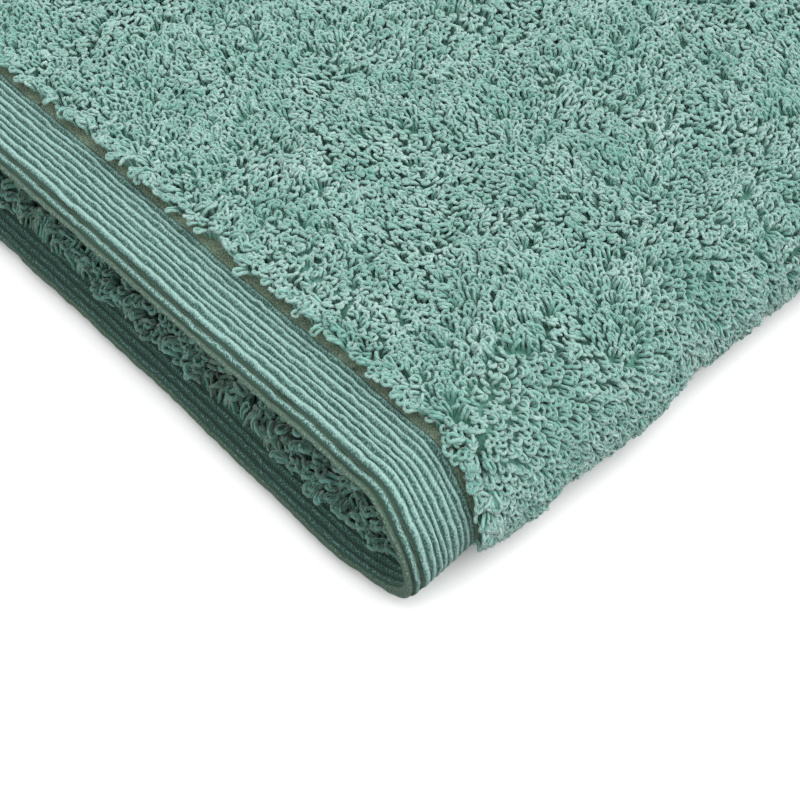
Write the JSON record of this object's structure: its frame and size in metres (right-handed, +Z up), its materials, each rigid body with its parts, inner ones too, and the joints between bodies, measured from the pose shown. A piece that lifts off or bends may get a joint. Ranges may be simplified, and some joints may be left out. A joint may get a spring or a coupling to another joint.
{
  "type": "folded bath towel",
  "caption": "Terry bath towel folded once along its length, with a ribbed hem band at each end, narrow side hems and looped pile on both faces.",
  "frame": {"origin": "middle of the folded towel's footprint, on the surface that it lies on", "axes": "+Z up; +X across the towel towards the fold, with the loose side edges at -X; +Y along the towel towards the far end hem"},
  "size_m": [0.3514, 1.4, 0.03],
  "materials": {
    "terry": "looped cotton pile, matt with a soft sheen",
    "hem": "corded flat-woven cotton, matt",
    "thread": "twisted sewing thread, slight lustre"
  },
  "bodies": {
    "root": {"upper_terry": "terry", "fold_terry": "terry", "lower_terry": "terry", "near_hem_upper": "hem", "near_hem_fold": "hem", "near_hem_lower": "hem", "far_hem_upper": "hem", "far_hem_fold": "hem", "far_hem_lower": "hem", "upper_side_hem": "hem", "lower_side_hem": "hem", "near_hem_stitching": "thread", "far_hem_stitching": "thread", "upper_side_stitching": "thread", "lower_side_stitching": "thread"}
  },
  "joints": []
}
